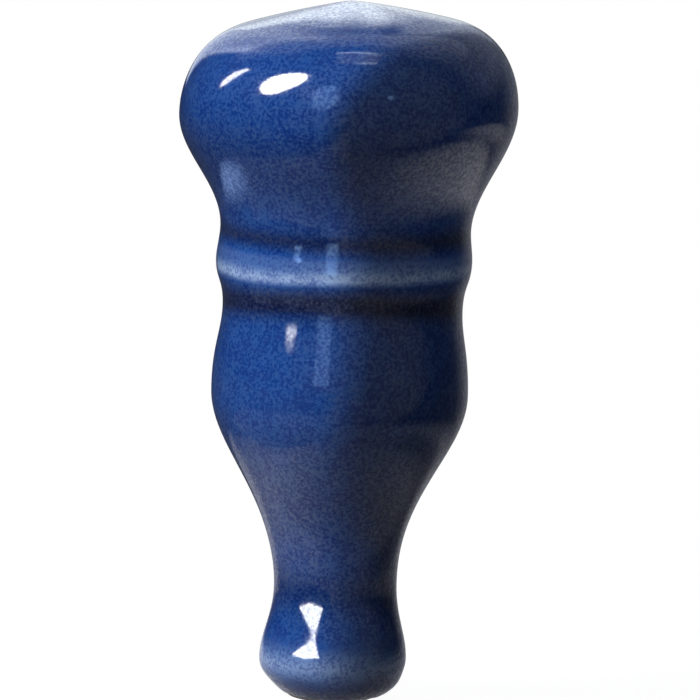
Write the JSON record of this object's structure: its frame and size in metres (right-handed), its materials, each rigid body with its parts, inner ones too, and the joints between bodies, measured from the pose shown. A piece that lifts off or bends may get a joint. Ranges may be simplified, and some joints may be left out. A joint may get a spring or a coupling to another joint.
{
  "type": "guitar slide",
  "caption": "Hand-held glazed ceramic guitar slide: a hollow turned baluster with a domed head, a ringed waist and a slender flared foot with a pour hole.",
  "frame": {"origin": "centre of the foot ring's flat face, which is the lowest face of the slide", "axes": "+Z along the axis of turning from the foot to the head; +X and +Y are any two directions across it"},
  "size_m": [0.0364, 0.0364, 0.076],
  "materials": {
    "porcelain": "fired bisque, matt, bare on the foot ring and inside",
    "glaze": "cobalt blue gloss glaze, paler where it runs thin on the ring"
  },
  "bodies": {
    "root": {"porcelain_body": "porcelain", "glaze_coat": "glaze"}
  },
  "joints": []
}
